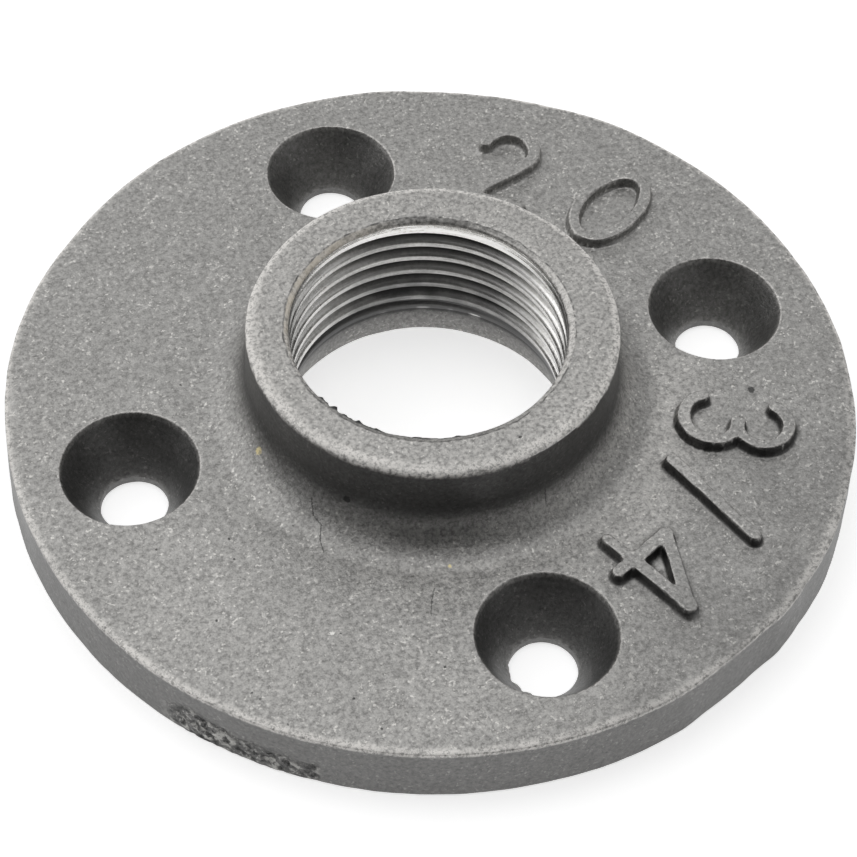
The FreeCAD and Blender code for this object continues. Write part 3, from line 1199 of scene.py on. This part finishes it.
def seen_from_above(tree, place):
    """A place with its height taken out, and 1 on the front side of the casting and 0 on the back."""
    split = add_node(tree, "ShaderNodeSeparateXYZ")
    feed(tree, split.inputs[0], place)
    front = ramp_between(tree, split.outputs[2], 4 * MM, 5 * MM)
    return vector_maths(tree, "MULTIPLY", place, (1, 1, 0)), front


def single_spot(tree, place, centre, radius):
    """A single spot on the skin: 1 inside it and 0 outside. A flat centre marks the front side."""
    if len(centre) == 2:
        flat, front = seen_from_above(tree, place)
        away = vector_maths(tree, "DISTANCE", flat, (centre[0] * MM, centre[1] * MM, 0), result=1)
    else:
        front = 1.0
        away = vector_maths(tree, "DISTANCE", place, tuple(number * MM for number in centre), result=1)
    inside = ramp_between(tree, away, radius * 1.15 * MM, radius * 0.7 * MM)
    return maths(tree, "MULTIPLY", inside, front)


def single_line(tree, place, start, end, half_width):
    """A fine straight line on the front side: 1 on it and 0 beside it."""
    flat, front = seen_from_above(tree, place)
    first = (start[0] * MM, start[1] * MM, 0)
    way = ((end[0] - start[0]) * MM, (end[1] - start[1]) * MM, 0)
    gap = vector_maths(tree, "SUBTRACT", flat, first)
    along = vector_maths(tree, "DOT_PRODUCT", gap, way, result=1)
    share = maths(tree, "DIVIDE", along, way[0] ** 2 + way[1] ** 2, clamp=True)
    reached = add_node(tree, "ShaderNodeVectorMath", operation="SCALE")
    feed(tree, reached.inputs[0], way)
    feed(tree, reached.inputs["Scale"], share)
    away = vector_maths(tree, "DISTANCE", gap, reached.outputs[0], result=1)
    inside = ramp_between(tree, away, half_width * 1.5 * MM, half_width * 0.6 * MM)
    return maths(tree, "MULTIPLY", inside, front)


def grained_skin(tree, grain, clouds):
    """The tumbled skin's own colour: fine grain, soft patches, dark specks and bright flecks."""
    flecks = object_noise(tree, 3300.0, 1.0, 0.5)
    specks = object_noise(tree, 3300.0, 2.0, 0.6)
    patches = object_noise(tree, 480.0, 2.0, 0.6)
    skin = blend_colours(tree, ramp_between(tree, grain, 0.3, 0.7, smooth=False), DARK_GRAIN, PALE_GRAIN)
    skin = blend_colours(tree, ramp_between(tree, clouds, 0.3, 0.7, 0.1, 0.0), skin, DARK_GRAIN)
    skin = blend_colours(tree, ramp_between(tree, patches, 0.35, 0.7, 0.12, 0.0), skin, DULL_PATCH)
    skin = blend_colours(tree, ramp_between(tree, specks, 0.6, 0.74, 0.0, 0.5), skin, DARK_SPECK)
    thick = ramp_between(tree, patches, 0.35, 0.65, 0.4, 1.0)
    shine = maths(tree, "MULTIPLY", ramp_between(tree, flecks, 0.6, 0.73, 0.0, 0.78), thick)
    return blend_colours(tree, shine, skin, BRIGHT_FLECK)


def worn_stained_and_shaded(tree, skin, wear_and_sheen):
    """The skin with painted shade on its steep walls, its edges silvery with wear and painted highlights, its
    tan stain, and its painted shade and dirt.
    """
    # Painted shade on steep walls
    steep = maths(tree, "MULTIPLY", point_value(tree, "steep"), 0.7)
    skin = blend_colours(tree, steep, skin, STEEP_WALL_SHADE)
    # Silver wear, with painted highlights
    skin = blend_colours(tree, maths(tree, "MULTIPLY", wear_and_sheen, 0.9), skin, SILVER_WEAR_AND_SHEEN)
    skin = blend_colours(tree, maths(tree, "MULTIPLY", point_value(tree, "tan"), 0.7), skin, TAN_STAIN)
    # Painted shade, with the oil and the dark burrs
    dirt_and_shade = ramp_between(tree, point_value(tree, "shade_and_dirt"), 0.05, 0.7, 0.0, 0.85)
    return blend_colours(tree, dirt_and_shade, skin, SOOT_AND_SHADE)


def broken_iron(tree, skin, crevices, broken):
    """The skin with painted shade in the broken gate's crevices, and its bare lumps."""
    # Painted shade in the crevices
    gap = maths(tree, "MULTIPLY", ramp_between(tree, crevices, 0.47, 0.38, 0.0, 0.8), broken)
    skin = blend_colours(tree, gap, skin, CREVICE_SHADE)
    lump = maths(tree, "MULTIPLY", ramp_between(tree, crevices, 0.5, 0.6, 0.0, 0.55), broken)
    return blend_colours(tree, lump, skin, BARE_LUMP)


def pits_and_flecks(tree, skin, grain):
    """The skin with its small pits, its larger ones, its cracks and its coloured flecks."""
    pits = maths(tree, "MULTIPLY", small_pits(tree, PIT_SPACING, PIT_SHARE), 0.7)
    skin = blend_colours(tree, pits, skin, SMALL_PIT)
    place = wobbling_place(tree, 0.16, 0.3)
    for centre, radius in DARK_PITS:
        spot = maths(tree, "MULTIPLY", single_spot(tree, place, centre, radius), 0.85)
        skin = blend_colours(tree, spot, skin, SOOT_AND_SHADE)
    for crack in CRACKS:
        for start, end in zip(crack[:-1], crack[1:]):
            line = maths(tree, "MULTIPLY", single_line(tree, place, start, end, CRACK_HALF_WIDTH), 0.7)
            skin = blend_colours(tree, line, skin, CRACK_LINE)
    for centre, radius in YELLOW_FLECKS:
        grainy = ramp_between(tree, grain, 0.38, 0.52, 0.45, 1.0)
        spot = maths(tree, "MULTIPLY", single_spot(tree, place, centre, radius), grainy)
        skin = blend_colours(tree, spot, skin, YELLOW_FLECK)
    for centre, radius in PALE_FLECKS:
        skin = blend_colours(tree, single_spot(tree, place, centre, radius), skin, PALE_FLECK)
    return skin


def cast_iron():
    """Tumbled grey iron: a dark, finely grained skin with silvery edges and dark pits."""
    material, tree, shader = new_material("tumbled_iron")
    grain = object_noise(tree, 2650.0, 3.0, 0.75)
    clouds = object_noise(tree, 120.0, 3.0, 0.55)
    crevices = object_noise(tree, 1300.0, 4.0, 0.65)
    broken = point_value(tree, "broken")
    grainy = ramp_between(tree, grain, 0.37, 0.6, 0.25, 1.15)
    wear_and_sheen = maths(tree, "MULTIPLY", point_value(tree, "silvering"), grainy)
    skin = grained_skin(tree, grain, clouds)
    skin = worn_stained_and_shaded(tree, skin, wear_and_sheen)
    skin = broken_iron(tree, skin, crevices, broken)
    skin = pits_and_flecks(tree, skin, grain)
    feed(tree, shader.inputs["Base Color"], skin)
    # The barrel's scuffs scatter light every way
    feed(tree, shader.inputs["Metallic"], ramp_between(tree, wear_and_sheen, 0.2, 0.8, 1.0, 0.35))
    rough = ramp_between(tree, clouds, 0.3, 0.7, 0.43, 0.5)
    feed(tree, shader.inputs["Roughness"], maths(tree, "MULTIPLY_ADD", wear_and_sheen, 0.06, rough))
    fine = bump(tree, grain, 0.00005)
    torn = bump(tree, maths(tree, "MULTIPLY", crevices, broken), 0.0007, under=fine)
    feed(tree, shader.inputs["Normal"], torn)
    return material


def tool_lines(tree):
    """Fine lines that run round the bore, as a tap leaves them."""
    split = add_node(tree, "ShaderNodeSeparateXYZ")
    feed(tree, split.inputs[0], object_place(tree))
    across = maths(tree, "SUBTRACT", split.outputs[0], TAP_OFFSET[0] * MM)
    along = maths(tree, "SUBTRACT", split.outputs[1], TAP_OFFSET[1] * MM)
    squares = maths(tree, "ADD", maths(tree, "POWER", across, 2.0), maths(tree, "POWER", along, 2.0))
    spot = add_node(tree, "ShaderNodeCombineXYZ")
    feed(tree, spot.inputs[0], maths(tree, "SQRT", squares))
    feed(tree, spot.inputs[1], split.outputs[2])
    feed(tree, spot.inputs[2], maths(tree, "MULTIPLY", maths(tree, "ARCTAN2", along, across), 0.0006))
    lines = add_node(tree, "ShaderNodeTexNoise")
    feed(tree, lines.inputs["Vector"], spot.outputs[0])
    feed(tree, lines.inputs["Scale"], 4200.0)
    feed(tree, lines.inputs["Detail"], 2.0)
    return lines.outputs[0]


def cut_iron():
    """Freshly cut iron in the thread: bright crests, grooves dark with oil and painted shade, and fine tool
    lines.
    """
    material, tree, shader = new_material("cut_iron")
    grain = object_noise(tree, 3000.0, 3.0, 0.6)
    mixed = maths(tree, "MULTIPLY_ADD", tool_lines(tree), 0.6, maths(tree, "MULTIPLY", grain, 0.4))
    skin = blend_colours(tree, ramp_between(tree, mixed, 0.36, 0.6), CUT_DARK, CUT_BRIGHT)
    # Oil and painted shade in the grooves
    dirt_and_shade = ramp_between(tree, point_value(tree, "shade_and_dirt"), 0.05, 0.9, 0.0, 0.92)
    feed(tree, shader.inputs["Base Color"], blend_colours(tree, dirt_and_shade, skin, OIL_AND_SHADE))
    shader.inputs["Metallic"].default_value = 1.0
    rough = ramp_between(tree, point_value(tree, "shade_and_dirt"), 0.0, 0.4, 0.15, 0.37)
    feed(tree, shader.inputs["Roughness"], maths(tree, "MULTIPLY_ADD", grain, 0.1, rough))
    # The tool lines spread a reflection across the thread
    shader.inputs["Anisotropic"].default_value = 0.4
    shader.inputs["Anisotropic Rotation"].default_value = 0.25
    round_axis = add_node(tree, "ShaderNodeTangent", direction_type="RADIAL", axis="Z")
    feed(tree, shader.inputs["Tangent"], round_axis.outputs[0])
    feed(tree, shader.inputs["Normal"], bump(tree, mixed, 0.00007, strength=0.8))
    return material


# The casting

def cut_thread(material):
    """The threaded bore's mesh."""
    turns = math.ceil((THREAD_TOP - THREAD_FOOT) / THREAD_PITCH) + 2
    first_height = THREAD_START_HEIGHT - 2 * THREAD_PITCH
    rows = [(CREST_RADIUS, first_height + (turn + share) * THREAD_PITCH)
            for turn in range(turns + 1) for share in THREAD_ROWS]
    return grown(cut_thread_tree(), rows, Steps=HUB_STEPS, Finish=material,
                 Pitch=THREAD_PITCH * MM, Foot=THREAD_FOOT * MM, Top=THREAD_TOP * MM, Depth=THREAD_DEPTH * MM,
                 **{"Start Height": THREAD_START_HEIGHT * MM})


def build_casting():
    """The whole flange as one closed mesh."""
    iron = cast_iron()
    bright = cut_iron()
    turned = turned_wall_tree()
    rim = grown(turned, rim_section(), Steps=RIM_STEPS, Finish=iron)
    hub = grown(turned, hub_section(), Steps=HUB_STEPS, Finish=iron)
    core = grown(turned, core_section(), Steps=HUB_STEPS, Finish=iron)
    holes = grown(screw_hole_tree(), screw_hole_section(), Steps=SINK_STEPS, Finish=iron,
                  Holes=SCREW_HOLE_COUNT, **{"Circle Radius": SCREW_CIRCLE_RADIUS * MM})
    thread = cut_thread(bright)
    front = flat_face((FACE_OUTER_RADIUS, RIM_STEPS), (FACE_INNER_RADIUS, HUB_STEPS),
                      SINK_MOUTH_RADIUS, FACE_SPACING, PLATE_THICKNESS, extra=mark_rows())
    back = flat_face((BACK_OUTER_RADIUS, RIM_STEPS), (CORE_OPENING_RADIUS + CORE_RING_WIDTH, HUB_STEPS),
                     BACK_HOLE_RADIUS, BACK_SPACING, 0.0)
    meshes = [rim, hub, core, holes, thread, face_mesh("front", *front, iron), face_mesh("back", *back, iron)]
    mesh = joined(meshes, [iron, bright])
    mark_wear_and_painted_light(mesh, *shape_casting(mesh))
    for polygon in mesh.polygons:
        polygon.use_smooth = True
    casting = bpy.data.objects.new("casting", mesh)
    bpy.context.scene.collection.objects.link(casting)
    return casting


# Studio

def camera_axes():
    """The camera's right, up and back directions, and its place."""
    aside = plane_direction(CAMERA_ANGLE)
    elevation = math.radians(CAMERA_ELEVATION)
    back = Vector((aside[0] * math.cos(elevation), aside[1] * math.cos(elevation), math.sin(elevation)))
    level = Vector((-aside[1], aside[0], 0))
    upward = back.cross(level)
    roll = math.radians(CAMERA_ROLL)
    right = level * math.cos(roll) + upward * math.sin(roll)
    up = upward * math.cos(roll) - level * math.sin(roll)
    aim = Vector((aside[0], aside[1], 0)) * AIM_TOWARDS_CAMERA - right * AIM_TO_LEFT
    return right, up, back, (aim + back * CAMERA_DISTANCE) * MM


def place_camera():
    """The photograph's viewpoint."""
    right, up, back, place = camera_axes()
    lens = bpy.data.cameras.new("camera")
    lens.sensor_fit = "HORIZONTAL"
    lens.sensor_width = CAMERA_SENSOR
    lens.lens = CAMERA_LENS
    lens.clip_start = 0.005
    lens.clip_end = 20
    camera = bpy.data.objects.new("camera", lens)
    turn = Matrix((right, up, back)).transposed().to_4x4()
    camera.matrix_world = Matrix.Translation(place) @ turn
    bpy.context.scene.collection.objects.link(camera)
    bpy.context.scene.camera = camera


def seen_directly(tree):
    """1 for camera, mirror and glass rays, which see the backdrop itself."""
    path = add_node(tree, "ShaderNodeLightPath")
    seen = maths(tree, "ADD", path.outputs["Is Camera Ray"], path.outputs["Is Glossy Ray"], clamp=True)
    return maths(tree, "ADD", seen, path.outputs["Is Transmission Ray"], clamp=True)


def white_table():
    """Matt white that the camera and reflections see as plain white, with the casting's shadow on it."""
    material = bpy.data.materials.new("white_table")
    material.use_nodes = True
    tree = material.node_tree
    tree.nodes.clear()
    matt = add_node(tree, "ShaderNodeBsdfDiffuse")
    matt.inputs["Color"].default_value = TABLE_WHITE
    glow = add_node(tree, "ShaderNodeEmission")
    glow.inputs["Color"].default_value = WHITE
    feed(tree, glow.inputs["Strength"], maths(tree, "MULTIPLY", seen_directly(tree), TABLE_GLOW))
    both = add_node(tree, "ShaderNodeAddShader")
    feed(tree, both.inputs[0], matt.outputs[0])
    feed(tree, both.inputs[1], glow.outputs[0])
    out = add_node(tree, "ShaderNodeOutputMaterial")
    feed(tree, out.inputs[0], both.outputs[0])
    return material


def lay_floor():
    """A plain white table under the casting."""
    mesh = bpy.data.meshes.new("table")
    corners = [(x * TABLE_HALF, y * TABLE_HALF, -TABLE_GAP) for x, y in ((-1, -1), (1, -1), (1, 1), (-1, 1))]
    mesh.from_pydata(corners, [], [(0, 1, 2, 3)])
    mesh.materials.append(white_table())
    floor = bpy.data.objects.new("table", mesh)
    bpy.context.scene.collection.objects.link(floor)


def light_surround(behind, left, up):
    """A white surround, brightest above, behind and to the left, with a paler backdrop on the right."""
    world = bpy.data.worlds.new("surround")
    world.use_nodes = True
    bpy.context.scene.world = world
    tree = world.node_tree
    tree.nodes.clear()
    where = add_node(tree, "ShaderNodeTexCoord").outputs["Generated"]
    bright_side = (behind * 0.34 + left * 0.68 + up * 0.8).normalized()
    facing = vector_maths(tree, "DOT_PRODUCT", where, tuple(bright_side), result=1)
    main = maths(tree, "POWER", ramp_between(tree, facing, -0.25, 1.0, smooth=False), 2.0)
    backwards = vector_maths(tree, "DOT_PRODUCT", where, tuple(behind), result=1)
    main = maths(tree, "MULTIPLY", main, ramp_between(tree, backwards, -0.6, -0.05, DARK_SIDE, 1.0))
    split = add_node(tree, "ShaderNodeSeparateXYZ")
    feed(tree, split.inputs[0], where)
    low = ramp_between(tree, split.outputs[2], 0.78, 0.5, 0.0, BACKDROP_LEVEL)
    pale_side = (behind * 0.25 - left).normalized()
    sideways = vector_maths(tree, "DOT_PRODUCT", where, tuple(pale_side), result=1)
    backdrop = maths(tree, "MULTIPLY", ramp_between(tree, sideways, 0.1, 0.8), low)
    glow = add_node(tree, "ShaderNodeBackground")
    feed(tree, glow.inputs["Color"], WHITE)
    feed(tree, glow.inputs["Strength"], maths(tree, "MULTIPLY_ADD", main, SKY_LEVEL, backdrop))
    out = add_node(tree, "ShaderNodeOutputWorld")
    feed(tree, out.inputs[0], glow.outputs[0])


def hang_softbox(behind, left, up):
    """One large soft lamp, high above the casting."""
    lamp = bpy.data.lights.new("softbox", "AREA")
    lamp.shape = "SQUARE"
    lamp.size = LAMP_SIZE
    lamp.energy = LAMP_POWER
    softbox = bpy.data.objects.new("softbox", lamp)
    place = (up - left * 0.25 + behind * 0.15).normalized() * LAMP_DISTANCE
    softbox.matrix_world = Matrix.Translation(place) @ place.to_track_quat("Z", "Y").to_matrix().to_4x4()
    bpy.context.scene.collection.objects.link(softbox)


def light_studio():
    """The surround and the lamp, placed as the camera sees them."""
    behind = -Vector((*plane_direction(CAMERA_ANGLE), 0))
    left = Vector((*plane_direction(CAMERA_ANGLE - 90), 0))
    up = Vector((0, 0, 1))
    light_surround(behind, left, up)
    hang_softbox(behind, left, up)


casting = build_casting()
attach(casting, "root")
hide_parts(NODE)
lay_floor()
light_studio()
place_camera()
bpy.context.scene.view_settings.view_transform = "Standard"
